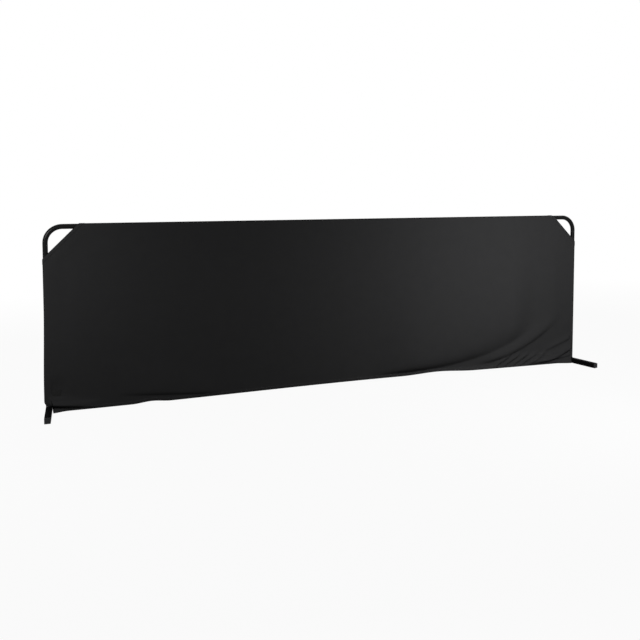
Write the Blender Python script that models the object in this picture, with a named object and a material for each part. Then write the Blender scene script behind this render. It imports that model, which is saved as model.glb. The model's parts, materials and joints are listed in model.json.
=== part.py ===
# Free-standing surround barrier for table tennis courts: a bent tube frame on two
# swivelling bar feet, dressed with a cloth cover. Metres, +Z up, front towards -Y.
import math

import bmesh
import bpy
from mathutils import Matrix, Vector

# Driving dimensions of the tube frame
BARRIER_LENGTH = 2.330
BARRIER_HEIGHT = 0.700
TUBE_DIAMETER = 0.019
TUBE_WALL = 0.0012
BEND_RADIUS = 0.060

# Legs of the two corner bends, and the necks that plug them into the straight tubes
BEND_LEG = 0.090
NECK_LENGTH = 0.035
NECK_SHOULDER = 0.002

# Clearances shared by all pieces
FACE_GAP = 0.0003
PIVOT_CLEARANCE = 0.0005
CUT_OVERRUN = 0.002
MERGE_DISTANCE = FACE_GAP / 10

# Joint in the middle of the top rail
SPIGOT_LENGTH = 0.120
SPIGOT_WALL = 0.0015
JOINT_SCREW_OFFSET = 0.030
JOINT_SCREW_DIAMETER = 0.004
JOINT_SCREW_LENGTH = 0.009
JOINT_SCREW_HEAD_DIAMETER = 0.0078
JOINT_SCREW_HEAD_HEIGHT = 0.0024
JOINT_SCREW_EDGE = 0.0006

# Bar feet and their end caps
FOOT_LENGTH = 0.290
FOOT_SIDE = 0.022
FOOT_WALL = 0.0015
FOOT_CORNER_RADIUS = 0.002
CAP_FLANGE_THICKNESS = 0.003
CAP_EDGE_RADIUS = 0.001
CAP_PLUG_LENGTH = 0.014
CAP_PLUG_EDGE_RADIUS = 0.0008
LEFT_FOOT_TURN_DEGREES = 0.0
RIGHT_FOOT_TURN_DEGREES = 15.0

# Pivot at the lower end of each upright
PIVOT_BOLT_DIAMETER = 0.008
PIVOT_BOLT_LENGTH = 0.030
PIVOT_BOLT_CHAMFER = 0.0008
BOLT_HEAD_DIAMETER = 0.014
BOLT_HEAD_HEIGHT = 0.0044
BOLT_HEAD_RIM = 0.0016
BOLT_HEAD_CROWN_DIAMETER = 0.009
BOLT_SOCKET_WIDTH = 0.005
BOLT_SOCKET_DEPTH = 0.0026
ACCESS_HOLE_DIAMETER = 0.016
SPRING_WASHER_DIAMETER = 0.0135
SPRING_WASHER_THICKNESS = 0.0016
SPRING_WASHER_SLIT_DEGREES = 12.0
SWIVEL_WASHER_THICKNESS = 0.0015
PLUG_FLANGE_THICKNESS = 0.002
PLUG_LENGTH = 0.027

# Cloth cover
CLOTH_THICKNESS = 0.0006
CORNER_CUT = 0.132
BINDING_WIDTH = 0.012
BINDING_THICKNESS = 0.0005
HEM_CLEARANCE_OVER_FOOT = 0.003
HEM_FLOOR_CLEARANCE = 0.001
HEM_NOTCH = 0.024

# Main folds of the cover
FOLD_START = 0.045
FOLD_RUN = 0.070
FLARE_HEIGHT = 0.170
FRONT_FLARE = 0.010
FRONT_FLARE_LENGTH = 0.900
BACK_FLARE = 0.012
BACK_FLARE_LENGTH = 0.700
HEM_LIFT = 0.014
HEM_LIFT_CENTRE = 0.380
HEM_LIFT_REACH = 0.900
DRAW_FOLD_DEPTH = 0.009
DRAW_FOLD_REACH = 0.076
DRAW_FOLD_LOW_X = 0.330
DRAW_FOLD_LOW_Z = 0.045
DRAW_FOLD_HIGH_X = 1.090
DRAW_FOLD_HIGH_Z = 0.190
SKIRT_FLARE = 0.012
SKIRT_HEIGHT = 0.060
BILLOW_DEPTH = 0.004

# Hook and loop closure at the foot of each upright
CLOSURE_LOW_Z = 0.045
CLOSURE_HEIGHT = 0.040
CLOSURE_WIDTH = 0.030
CLOSURE_UPRIGHT_GAP = 0.003
HOOK_TAPE_THICKNESS = 0.001
LOOP_PATCH_THICKNESS = 0.0012

# Shading and rounding
SHARP_ANGLE_DEGREES = 35.0
ROUND_PROFILE_SHARE = 0.5

# Counts
TUBE_SIDES = 24
BEND_STEPS = 10
ROUND_SIDES = 24
WRAP_STEPS = 3
PANEL_STEPS = 40
HEM_STEPS = 2
CORNER_STEPS = 2
BINDING_STEPS = 5

# Heights of the cover's rows, as shares of the drop from the rail to the panel's lower edge
PANEL_ROW_SHARES = (0.0, 0.13, 0.28, 0.44, 0.58, 0.70, 0.79, 0.87, 0.94, 1.0)

# Sizes that follow from the ones above
TUBE_RADIUS = TUBE_DIAMETER / 2
TUBE_INNER_RADIUS = TUBE_RADIUS - TUBE_WALL
UPRIGHT_X = BARRIER_LENGTH / 2 - TUBE_RADIUS
RAIL_Z = BARRIER_HEIGHT - TUBE_RADIUS
BEND_Z = RAIL_Z - BEND_RADIUS
BEND_X = UPRIGHT_X - BEND_RADIUS
TUBE_TOP_Z = BEND_Z - BEND_LEG - NECK_SHOULDER - FACE_GAP
RAIL_END_X = BEND_X - BEND_LEG - NECK_SHOULDER - FACE_GAP
SPIGOT_RADIUS = TUBE_INNER_RADIUS - FACE_GAP
SWIVEL_WASHER_Z = FOOT_SIDE + FACE_GAP
PLUG_Z = SWIVEL_WASHER_Z + SWIVEL_WASHER_THICKNESS + FACE_GAP
TUBE_FOOT_Z = PLUG_Z + PLUG_FLANGE_THICKNESS + FACE_GAP
PIVOT_BOLT_RADIUS = PIVOT_BOLT_DIAMETER / 2
PIVOT_BORE_RADIUS = PIVOT_BOLT_RADIUS + FACE_GAP
SPRING_WASHER_Z = FOOT_SIDE - FOOT_WALL - FACE_GAP - SPRING_WASHER_THICKNESS
BOLT_HEAD_TOP_Z = SPRING_WASHER_Z - FACE_GAP
BAR_LENGTH = FOOT_LENGTH - 2 * (CAP_FLANGE_THICKNESS + FACE_GAP)
CAP_PLUG_SIDE = FOOT_SIDE - 2 * (FOOT_WALL + FACE_GAP)
WRAP_STEP_ANGLE = math.pi / 2 / WRAP_STEPS
WRAP_RADIUS = (TUBE_RADIUS + FACE_GAP) / math.cos(WRAP_STEP_ANGLE / 2)
WRAP_ARC = WRAP_RADIUS * math.pi / 2
PANEL_LOW_Z = FOOT_SIDE + HEM_CLEARANCE_OVER_FOOT
CUT_TOP_X = BARRIER_LENGTH / 2 - CORNER_CUT
LEFT_FOOT_TURN = math.radians(LEFT_FOOT_TURN_DEGREES)
RIGHT_FOOT_TURN = math.radians(RIGHT_FOOT_TURN_DEGREES)


def foot_reach(turn):
    """How far a turned foot reaches out sideways from its pivot."""
    return FOOT_LENGTH / 2 * math.sin(abs(turn)) + FOOT_SIDE / 2 * math.cos(turn)


# The part's origin is the middle of its footprint, which the turned foot widens on one side
FRAME_CENTRE_X = (foot_reach(LEFT_FOOT_TURN) - foot_reach(RIGHT_FOOT_TURN)) / 2


def clear_scene():
    for old in list(bpy.data.objects):
        bpy.data.objects.remove(old, do_unlink=True)


def make_material(name, colour, roughness, metallic=0.0):
    material = bpy.data.materials.new(name)
    material.use_nodes = True
    shader = material.node_tree.nodes["Principled BSDF"]
    shader.inputs["Base Color"].default_value = (*colour, 1.0)
    shader.inputs["Roughness"].default_value = roughness
    shader.inputs["Metallic"].default_value = metallic
    return material


def add_empty(name, location, turn=0.0, parent=None):
    empty = bpy.data.objects.new(name, None)
    empty.location = location
    empty.rotation_euler = (0.0, 0.0, turn)
    empty.parent = parent
    bpy.context.collection.objects.link(empty)
    return empty


def add_object(name, bm, parent, material=None, smooth=True):
    bmesh.ops.recalc_face_normals(bm, faces=bm.faces)
    mesh = bpy.data.meshes.new(name)
    bm.to_mesh(mesh)
    bm.free()
    if smooth:
        mesh.shade_smooth()
        mesh.set_sharp_from_angle(angle=math.radians(SHARP_ANGLE_DEGREES))
    if material:
        mesh.materials.append(material)
    obj = bpy.data.objects.new(name, mesh)
    obj.parent = parent
    bpy.context.collection.objects.link(obj)
    return obj


def cut(target, cutter):
    """Takes the hidden cutter's shape away from the target."""
    cutter.hide_render = True
    cutter.display_type = "WIRE"
    boolean = target.modifiers.new("cut_" + cutter.name, "BOOLEAN")
    boolean.operation = "DIFFERENCE"
    boolean.solver = "EXACT"
    boolean.object = cutter


def cylinder_cutter(name, radius, low_z, high_z, place, parent):
    bm = bmesh.new()
    lift = Matrix.Translation((place[0], place[1], (low_z + high_z) / 2))
    bmesh.ops.create_cone(bm, cap_ends=True, segments=ROUND_SIDES, radius1=radius,
                          radius2=radius, depth=high_z - low_z, matrix=lift)
    return add_object(name, bm, parent)


def drop_inner_faces(bm, faces):
    """Removes the faces that an extrusion or a spin leaves behind inside the solid."""
    inner = [face for face in faces if any(len(edge.link_faces) > 2 for edge in face.edges)]
    bmesh.ops.delete(bm, geom=inner, context="FACES")


def turned_mesh(profile, place=(0.0, 0.0), turn=math.tau):
    """Spins a closed loop of (radius, height) points about the vertical line at place."""
    bm = bmesh.new()
    points = [bm.verts.new((place[0] + radius, place[1], height)) for radius, height in profile]
    face = bm.faces.new(points)
    whole = turn >= math.tau
    geometry = list(face.edges) if whole else [face]
    bmesh.ops.spin(bm, geom=geometry, cent=(place[0], place[1], 0.0), axis=(0.0, 0.0, 1.0),
                   angle=turn, steps=ROUND_SIDES, use_merge=whole)
    if whole:
        bm.faces.remove(face)
    bmesh.ops.remove_doubles(bm, verts=bm.verts, dist=MERGE_DISTANCE)
    bmesh.ops.dissolve_degenerate(bm, dist=MERGE_DISTANCE, edges=bm.edges)
    loose = [edge for edge in bm.edges if not edge.link_faces]
    bmesh.ops.delete(bm, geom=loose, context="EDGES")
    return bm


def ring_profile(inner, outer, low_z, high_z):
    return [(inner, low_z), (outer, low_z), (outer, high_z), (inner, high_z)]


def annulus(outer, inner, sides):
    """A flat ring of faces in the XY plane, the end of a round tube."""
    bm = bmesh.new()
    bmesh.ops.create_circle(bm, radius=outer, segments=sides)
    bmesh.ops.create_circle(bm, radius=inner, segments=sides)
    bmesh.ops.bridge_loops(bm, edges=bm.edges)
    return bm


def extrude(bm, faces, step):
    """Extrudes the faces by one step and returns the new end faces."""
    grown = bmesh.ops.extrude_face_region(bm, geom=faces)["geom"]
    moved = [item for item in grown if isinstance(item, bmesh.types.BMVert)]
    bmesh.ops.translate(bm, vec=step, verts=moved)
    drop_inner_faces(bm, faces)
    return [item for item in grown if isinstance(item, bmesh.types.BMFace)]


def frame_tube(name, start, step, parent, material):
    """A straight length of the frame's tube, from its start by one step."""
    bm = annulus(TUBE_RADIUS, TUBE_INNER_RADIUS, TUBE_SIDES)
    turn = Vector((0.0, 0.0, 1.0)).rotation_difference(Vector(step)).to_matrix().to_4x4()
    bmesh.ops.transform(bm, matrix=Matrix.Translation(start) @ turn, verts=bm.verts)
    extrude(bm, list(bm.faces), step)
    return add_object(name, bm, parent, material)


def add_leg(bm, faces, direction):
    """Extends a bend by its straight leg and draws the leg's end in to a neck."""
    leg = extrude(bm, faces, direction * BEND_LEG)
    shoulder = extrude(bm, leg, direction * NECK_SHOULDER)
    ring = {vert for face in shoulder for vert in face.verts}
    middle = sum((vert.co for vert in ring), Vector()) / len(ring)
    for vert in ring:
        vert.co -= (vert.co - middle).normalized() * (TUBE_WALL + FACE_GAP)
    extrude(bm, shoulder, direction * NECK_LENGTH)


def corner_bend(name, side, parent, material):
    """The bent tube of a top corner, whose two necks plug into the upright and the rail."""
    bm = annulus(TUBE_RADIUS, TUBE_INNER_RADIUS, TUBE_SIDES)
    bmesh.ops.translate(bm, vec=(side * UPRIGHT_X, 0.0, BEND_Z), verts=bm.verts)
    low = list(bm.faces)
    bent = bmesh.ops.spin(bm, geom=low, cent=(side * BEND_X, 0.0, BEND_Z), axis=(0.0, -side, 0.0),
                          angle=math.pi / 2, steps=BEND_STEPS)
    high = [item for item in bent["geom_last"] if isinstance(item, bmesh.types.BMFace)]
    add_leg(bm, low, Vector((0.0, 0.0, -1.0)))
    add_leg(bm, high, Vector((-side, 0.0, 0.0)))
    return add_object(name, bm, parent, material)


def rail_spigot(parent, material):
    bm = annulus(SPIGOT_RADIUS, SPIGOT_RADIUS - SPIGOT_WALL, TUBE_SIDES)
    extrude(bm, list(bm.faces), (0.0, 0.0, SPIGOT_LENGTH))
    lay = Matrix.Translation((-SPIGOT_LENGTH / 2, 0.0, RAIL_Z)) @ Matrix.Rotation(math.pi / 2, 4, "Y")
    bmesh.ops.transform(bm, matrix=lay, verts=bm.verts)
    return add_object("rail_spigot", bm, parent, material)


def joint_screw(name, side, parent, material):
    """Screw driven in from below, which holds a half rail on the spigot."""
    head_top = RAIL_Z - TUBE_RADIUS - FACE_GAP
    head_low = head_top - JOINT_SCREW_HEAD_HEIGHT
    head_radius = JOINT_SCREW_HEAD_DIAMETER / 2
    shank_radius = JOINT_SCREW_DIAMETER / 2
    profile = [(0.0, head_low), (head_radius - JOINT_SCREW_EDGE, head_low),
               (head_radius, head_low + JOINT_SCREW_EDGE), (head_radius, head_top),
               (shank_radius, head_top), (shank_radius, head_top + JOINT_SCREW_LENGTH),
               (0.0, head_top + JOINT_SCREW_LENGTH)]
    bm = turned_mesh(profile, (side * JOINT_SCREW_OFFSET, 0.0))
    return add_object(name, bm, parent, material)


def upright_plug(name, side, parent, material):
    """Threaded bush in the upright's lower end, with a flange that carries the tube."""
    body_radius = TUBE_INNER_RADIUS - FACE_GAP
    flange_top = PLUG_Z + PLUG_FLANGE_THICKNESS
    profile = [(PIVOT_BORE_RADIUS, PLUG_Z), (TUBE_RADIUS, PLUG_Z), (TUBE_RADIUS, flange_top),
               (body_radius, flange_top), (body_radius, PLUG_Z + PLUG_LENGTH),
               (PIVOT_BORE_RADIUS, PLUG_Z + PLUG_LENGTH)]
    bm = turned_mesh(profile, (side * UPRIGHT_X, 0.0))
    return add_object(name, bm, parent, material)


def swivel_washer(name, side, parent, material):
    top = SWIVEL_WASHER_Z + SWIVEL_WASHER_THICKNESS
    profile = ring_profile(PIVOT_BORE_RADIUS, TUBE_RADIUS, SWIVEL_WASHER_Z, top)
    return add_object(name, turned_mesh(profile, (side * UPRIGHT_X, 0.0)), parent, material)


def spring_washer(name, side, parent, material):
    """A split ring between the bolt's head and the top wall of the foot."""
    top = SPRING_WASHER_Z + SPRING_WASHER_THICKNESS
    profile = ring_profile(PIVOT_BORE_RADIUS, SPRING_WASHER_DIAMETER / 2, SPRING_WASHER_Z, top)
    turn = math.tau - math.radians(SPRING_WASHER_SLIT_DEGREES)
    bm = turned_mesh(profile, (side * UPRIGHT_X, 0.0), turn)
    return add_object(name, bm, parent, material)


def pivot_bolt(name, side, parent, material):
    """Button head bolt, put in from below through the foot and screwed into the plug."""
    low = BOLT_HEAD_TOP_Z - BOLT_HEAD_HEIGHT
    high = BOLT_HEAD_TOP_Z + PIVOT_BOLT_LENGTH
    head_radius = BOLT_HEAD_DIAMETER / 2
    profile = [(0.0, low), (BOLT_HEAD_CROWN_DIAMETER / 2, low),
               (head_radius, BOLT_HEAD_TOP_Z - BOLT_HEAD_RIM), (head_radius, BOLT_HEAD_TOP_Z),
               (PIVOT_BOLT_RADIUS, BOLT_HEAD_TOP_Z),
               (PIVOT_BOLT_RADIUS, high - PIVOT_BOLT_CHAMFER),
               (PIVOT_BOLT_RADIUS - PIVOT_BOLT_CHAMFER, high), (0.0, high)]
    place = (side * UPRIGHT_X, 0.0)
    bolt = add_object(name, turned_mesh(profile, place), parent, material)
    socket = bmesh.new()
    depth = BOLT_SOCKET_DEPTH + CUT_OVERRUN
    lift = Matrix.Translation((*place, low + BOLT_SOCKET_DEPTH - depth / 2))
    radius = BOLT_SOCKET_WIDTH / 2 / math.cos(math.pi / 6)
    bmesh.ops.create_cone(socket, cap_ends=True, segments=6, radius1=radius, radius2=radius,
                          depth=depth, matrix=lift)
    cut(bolt, add_object(name + "_socket", socket, parent))
    return bolt


def square_loop(side, corner_radius):
    """A square with rounded corners in the XZ plane."""
    bm = bmesh.new()
    bmesh.ops.create_circle(bm, cap_ends=True, radius=side / math.sqrt(2), segments=4,
                            matrix=Matrix.Rotation(math.pi / 4, 4, "Z"))
    bmesh.ops.bevel(bm, geom=bm.verts[:], offset=corner_radius, offset_type="OFFSET",
                    segments=CORNER_STEPS, profile=ROUND_PROFILE_SHARE, affect="VERTICES")
    bmesh.ops.rotate(bm, matrix=Matrix.Rotation(math.pi / 2, 3, "X"), verts=bm.verts)
    return bm


def foot_bar(name, pivot, material):
    """Square tube that turns about its middle, with the bolt's two holes."""
    bm = square_loop(FOOT_SIDE, FOOT_CORNER_RADIUS)
    bmesh.ops.translate(bm, vec=(0.0, -BAR_LENGTH / 2, FOOT_SIDE / 2), verts=bm.verts)
    start = list(bm.faces)
    end = extrude(bm, start, (0.0, BAR_LENGTH, 0.0))
    bmesh.ops.delete(bm, geom=start + end, context="FACES_ONLY")
    bar = add_object(name, bm, pivot, material)
    wall = bar.modifiers.new("wall", "SOLIDIFY")
    wall.thickness = FOOT_WALL
    wall.offset = -1.0
    wall.use_even_offset = True
    middle = FOOT_SIDE / 2
    bolt_hole = cylinder_cutter(name + "_bolt_hole", PIVOT_BOLT_RADIUS + PIVOT_CLEARANCE, middle,
                                FOOT_SIDE + CUT_OVERRUN, (0.0, 0.0), pivot)
    access_hole = cylinder_cutter(name + "_access_hole", ACCESS_HOLE_DIAMETER / 2, -CUT_OVERRUN,
                                  middle, (0.0, 0.0), pivot)
    cut(bar, bolt_hole)
    cut(bar, access_hole)
    return bar


def foot_cap(name, end, pivot, material):
    """Plastic cap: a flange over the bar's end face and a plug inside the bar."""
    bm = square_loop(FOOT_SIDE, FOOT_CORNER_RADIUS)
    bmesh.ops.translate(bm, vec=(0.0, 0.0, FOOT_SIDE / 2), verts=bm.verts)
    outer = list(bm.faces)
    inner = extrude(bm, outer, (0.0, CAP_FLANGE_THICKNESS, 0.0))
    bmesh.ops.bevel(bm, geom=list(outer[0].edges), offset=CAP_EDGE_RADIUS, offset_type="OFFSET",
                    segments=CORNER_STEPS, profile=ROUND_PROFILE_SHARE, affect="EDGES", material=-1)
    step = (FOOT_SIDE - CAP_PLUG_SIDE) / 2
    bmesh.ops.inset_region(bm, faces=inner, thickness=step, use_even_offset=True)
    tip = extrude(bm, inner, (0.0, CAP_PLUG_LENGTH, 0.0))
    bmesh.ops.bevel(bm, geom=list(tip[0].edges), offset=CAP_PLUG_EDGE_RADIUS, offset_type="OFFSET",
                    segments=1, profile=ROUND_PROFILE_SHARE, affect="EDGES", material=-1)
    bmesh.ops.translate(bm, vec=(0.0, -FOOT_LENGTH / 2, 0.0), verts=bm.verts)
    if end > 0:
        bmesh.ops.rotate(bm, matrix=Matrix.Rotation(math.pi, 3, "Z"), verts=bm.verts)
    return add_object(name, bm, pivot, material)


def smooth_step(value):
    value = min(max(value, 0.0), 1.0)
    return value * value * (3 - 2 * value)


def bump(value):
    """One at zero, falling smoothly to nothing at one either way."""
    return 1 - smooth_step(abs(value))


def hem_low_z(x):
    """Height of the hem's lower edge over the floor, which lifts to the right of the middle."""
    return HEM_FLOOR_CLEARANCE + HEM_LIFT * bump((x - HEM_LIFT_CENTRE) / HEM_LIFT_REACH)


def fold_out(x, z, front):
    """How far the cloth stands out from its flat plane."""
    inboard = UPRIGHT_X - FOLD_START - abs(x)
    free = smooth_step(inboard / FOLD_RUN)
    low = smooth_step((FLARE_HEIGHT - z) / FLARE_HEIGHT)
    if not front:
        back = BACK_FLARE * bump((x - UPRIGHT_X + BACK_FLARE_LENGTH) / BACK_FLARE_LENGTH)
        return free * low * back
    from_left = x + UPRIGHT_X - FOLD_START
    flare = FRONT_FLARE * smooth_step(1 - from_left / FRONT_FLARE_LENGTH)
    run = Vector((DRAW_FOLD_HIGH_X - DRAW_FOLD_LOW_X, DRAW_FOLD_HIGH_Z - DRAW_FOLD_LOW_Z))
    offset = Vector((x - DRAW_FOLD_LOW_X, z - DRAW_FOLD_LOW_Z))
    along = offset.dot(run) / run.length_squared
    across = offset.cross(run) / run.length
    draw = DRAW_FOLD_DEPTH * bump(across / DRAW_FOLD_REACH) * smooth_step(along * (1 - along) * 4)
    skirt = SKIRT_FLARE * bump(2 * along - 1) * smooth_step((SKIRT_HEIGHT - z) / SKIRT_HEIGHT)
    drop = (RAIL_Z - z) / RAIL_Z
    billow = BILLOW_DEPTH * math.sin(math.pi * smooth_step(drop))
    return free * (low * flare + draw + skirt + billow)


def hanging_point(x, z, front, lift=0.0):
    """Place of a point of the cloth that hangs free between the rail and the floor."""
    y = WRAP_RADIUS + lift + fold_out(x, z, front)
    return Vector((x, -y if front else y, z))


def wrapped_point(u, v, front, lift):
    """Place of a point of the flat pattern: u runs along the barrier, v down from the rail's top."""
    over_side = abs(u) - UPRIGHT_X
    over_top = WRAP_ARC - v
    if over_side <= 0 and over_top <= 0:
        return hanging_point(u, RAIL_Z + over_top, front, lift)
    radius = WRAP_RADIUS + lift
    x, y, z = u, radius, RAIL_Z + min(over_top, 0.0)
    if over_side > 0:
        angle = over_side / WRAP_RADIUS
        x = math.copysign(UPRIGHT_X + radius * math.sin(angle), u)
        y = radius * math.cos(angle)
    if over_top > 0:
        angle = over_top / WRAP_RADIUS
        z = RAIL_Z + radius * math.sin(angle)
        y = min(y, radius * math.cos(angle))
    return Vector((x, -y if front else y, z))


def flat_grid(columns, rows):
    """A flat sheet of faces with vertices at the given places along and down the cloth."""
    bm = bmesh.new()
    bmesh.ops.create_grid(bm, x_segments=len(columns) - 1, y_segments=len(rows) - 1, size=1)
    for vert in bm.verts:
        column = round((vert.co.x + 1) / 2 * (len(columns) - 1))
        row = round((vert.co.y + 1) / 2 * (len(rows) - 1))
        vert.co = (columns[column], rows[row], 0.0)
    return bm


def keep_side(bm, place, normal):
    """Cuts the flat sheet along a straight line and drops what lies past it."""
    geometry = bm.verts[:] + bm.edges[:] + bm.faces[:]
    bmesh.ops.bisect_plane(bm, geom=geometry, dist=MERGE_DISTANCE, plane_co=place,
                           plane_no=normal, clear_outer=True)


def add_cloth(name, bm, thickness, parent, material):
    cloth = add_object(name, bm, parent, material)
    wall = cloth.modifiers.new("thickness", "SOLIDIFY")
    wall.thickness = thickness
    wall.offset = 1.0
    wall.use_even_offset = True
    return cloth


def spread(low, high, count):
    return [low + (high - low) * step / count for step in range(count + 1)]


def wrap_columns(seam_gap):
    """Places along the cloth, closer where it goes round the uprights."""
    wrap = spread(UPRIGHT_X, UPRIGHT_X + WRAP_ARC, WRAP_STEPS)[1:]
    wrap[-1] -= seam_gap
    inner = UPRIGHT_X - FOLD_START
    middle = spread(-inner, inner, PANEL_STEPS)
    right = [UPRIGHT_X] + wrap
    return [-place for place in reversed(right)] + middle + right


def wrap_rows(seam_gap):
    wrap = spread(0.0, WRAP_ARC, WRAP_STEPS)
    wrap[0] += seam_gap
    drop = RAIL_Z - PANEL_LOW_Z
    return wrap + [WRAP_ARC + drop * share for share in PANEL_ROW_SHARES[1:]]


def cover_panel(name, front, parent, material):
    """Front or back of the cover, from the seam over the rail to just above the feet."""
    bm = flat_grid(wrap_columns(FACE_GAP / 2), wrap_rows(FACE_GAP / 2))
    for side in (-1, 1):
        keep_side(bm, (side * CUT_TOP_X, 0.0, 0.0), (side, -1.0, 0.0))
    for vert in bm.verts:
        vert.co = wrapped_point(vert.co.x, vert.co.y, front, 0.0)
    return add_cloth(name, bm, CLOTH_THICKNESS, parent, material)


def cover_hem(name, front, parent, material):
    """The free lower band of the cover between the feet, down to the floor."""
    edge = UPRIGHT_X - HEM_NOTCH
    inner = UPRIGHT_X - FOLD_START
    columns = [-edge] + spread(-inner, inner, PANEL_STEPS) + [edge]
    bm = flat_grid(columns, spread(0.0, 1.0, HEM_STEPS))
    for vert in bm.verts:
        x, share = vert.co.x, vert.co.y
        top = PANEL_LOW_Z - FACE_GAP
        vert.co = hanging_point(x, top + (hem_low_z(x) - top) * share, front)
    return add_cloth(name, bm, CLOTH_THICKNESS, parent, material)


def corner_binding(name, side, parent, material):
    """Tape round the mouth where the bend leaves the cover: along both cuts and over both tubes."""
    wrap = spread(UPRIGHT_X, UPRIGHT_X + WRAP_ARC, WRAP_STEPS)
    low_v = WRAP_ARC + UPRIGHT_X - CUT_TOP_X + BINDING_WIDTH * 2
    columns = spread(CUT_TOP_X - BINDING_WIDTH * 2, UPRIGHT_X, BINDING_STEPS)[:-1] + wrap
    rows = spread(0.0, WRAP_ARC, WRAP_STEPS) + spread(WRAP_ARC, low_v, BINDING_STEPS)[1:]
    band = bmesh.new()
    for front in (True, False):
        bm = flat_grid([side * place for place in columns], rows)
        keep_side(bm, (side * CUT_TOP_X, 0.0, 0.0), (side, -1.0, 0.0))
        inner_x = CUT_TOP_X - BINDING_WIDTH * math.sqrt(2)
        keep_side(bm, (side * inner_x, 0.0, 0.0), (-side, 1.0, 0.0))
        for vert in bm.verts:
            lift = CLOTH_THICKNESS + FACE_GAP
            vert.co = wrapped_point(vert.co.x, vert.co.y, front, lift)
        half = bpy.data.meshes.new("band_half")
        bm.to_mesh(half)
        bm.free()
        band.from_mesh(half)
        bpy.data.meshes.remove(half)
    bmesh.ops.remove_doubles(band, verts=band.verts, dist=MERGE_DISTANCE)
    return add_cloth(name, band, BINDING_THICKNESS, parent, material)


def closure_outline(points):
    """An upright strip of the given plan outline, as tall as the closure."""
    bm = bmesh.new()
    face = bm.faces.new([bm.verts.new((x, y, CLOSURE_LOW_Z)) for x, y in points])
    extrude(bm, [face], (0.0, 0.0, CLOSURE_HEIGHT))
    return bm


def hook_tab(name, side, parent, material):
    """Tape sewn inside the front panel, led behind the upright to the loop patch."""
    outer_x = UPRIGHT_X - TUBE_RADIUS - CLOSURE_UPRIGHT_GAP
    inner_x = outer_x - CLOSURE_WIDTH
    front_y = FACE_GAP - WRAP_RADIUS
    back_y = WRAP_RADIUS - LOOP_PATCH_THICKNESS - 2 * FACE_GAP
    web_x = outer_x - HOOK_TAPE_THICKNESS
    points = [(inner_x, front_y), (outer_x, front_y), (outer_x, back_y), (inner_x, back_y),
              (inner_x, back_y - HOOK_TAPE_THICKNESS), (web_x, back_y - HOOK_TAPE_THICKNESS),
              (web_x, front_y + HOOK_TAPE_THICKNESS), (inner_x, front_y + HOOK_TAPE_THICKNESS)]
    bm = closure_outline([(side * x, y) for x, y in points])
    return add_object(name, bm, parent, material, smooth=False)


def loop_patch(name, side, parent, material):
    """Loop tape sewn inside the back panel."""
    outer_x = UPRIGHT_X - TUBE_RADIUS - CLOSURE_UPRIGHT_GAP
    inner_x = outer_x - CLOSURE_WIDTH
    back_y = WRAP_RADIUS - FACE_GAP
    front_y = back_y - LOOP_PATCH_THICKNESS
    points = [(inner_x, front_y), (outer_x, front_y), (outer_x, back_y), (inner_x, back_y)]
    bm = closure_outline([(side * x, y) for x, y in points])
    return add_object(name, bm, parent, material, smooth=False)


clear_scene()

paint = make_material("frame_paint", (0.045, 0.045, 0.048), 0.35)
foot_paint = make_material("foot_paint", (0.012, 0.012, 0.013), 0.45)
cap_plastic = make_material("cap_plastic", (0.030, 0.030, 0.031), 0.5)
zinc = make_material("zinc_steel", (0.55, 0.55, 0.56), 0.35, 1.0)
nylon = make_material("washer_nylon", (0.05, 0.05, 0.05), 0.6)
cover_cloth = make_material("cover_cloth", (0.018, 0.018, 0.019), 0.8)
binding_tape = make_material("binding_tape", (0.016, 0.016, 0.017), 0.8)
hook_tape = make_material("hook_tape", (0.012, 0.012, 0.012), 0.95)

barrier = add_empty("barrier", (FRAME_CENTRE_X, 0.0, 0.0))
spigot = rail_spigot(barrier, zinc)

for label, side, foot_turn in (("left", -1, LEFT_FOOT_TURN), ("right", 1, RIGHT_FOOT_TURN)):
    frame_tube(label + "_upright_tube", (side * UPRIGHT_X, 0.0, TUBE_FOOT_Z),
               (0.0, 0.0, TUBE_TOP_Z - TUBE_FOOT_Z), barrier, paint)
    corner_bend(label + "_corner_bend", side, barrier, paint)
    rail = frame_tube(label + "_rail_tube", (side * FACE_GAP / 2, 0.0, RAIL_Z),
                      (side * (RAIL_END_X - FACE_GAP / 2), 0.0, 0.0), barrier, paint)
    screw_hole = cylinder_cutter(label + "_screw_hole", JOINT_SCREW_DIAMETER / 2 + FACE_GAP,
                                 RAIL_Z - TUBE_RADIUS - CUT_OVERRUN, RAIL_Z,
                                 (side * JOINT_SCREW_OFFSET, 0.0), barrier)
    cut(rail, screw_hole)
    cut(spigot, screw_hole)
    joint_screw(label + "_rail_screw", side, barrier, zinc)
    upright_plug(label + "_upright_plug", side, barrier, zinc)
    swivel_washer(label + "_swivel_washer", side, barrier, nylon)
    spring_washer(label + "_spring_washer", side, barrier, zinc)
    pivot_bolt(label + "_pivot_bolt", side, barrier, zinc)
    corner_binding(label + "_corner_binding", side, barrier, binding_tape)
    hook_tab(label + "_hook_tab", side, barrier, hook_tape)
    loop_patch(label + "_loop_patch", side, barrier, hook_tape)
    pivot = add_empty(label + "_foot_pivot", (side * UPRIGHT_X, 0.0, 0.0), side * foot_turn, barrier)
    foot_bar(label + "_foot_bar", pivot, foot_paint)
    foot_cap(label + "_foot_front_cap", -1, pivot, cap_plastic)
    foot_cap(label + "_foot_rear_cap", 1, pivot, cap_plastic)

for label, front in (("front", True), ("back", False)):
    cover_panel("cover_" + label + "_panel", front, barrier, cover_cloth)
    cover_hem("cover_" + label + "_hem", front, barrier, cover_cloth)

bpy.context.view_layer.update()
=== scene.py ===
import json
from math import copysign, cos, exp, inf, log1p, pi, radians, sin, sqrt, tau

import bmesh
import bpy
from mathutils import Matrix, Vector, noise


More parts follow.
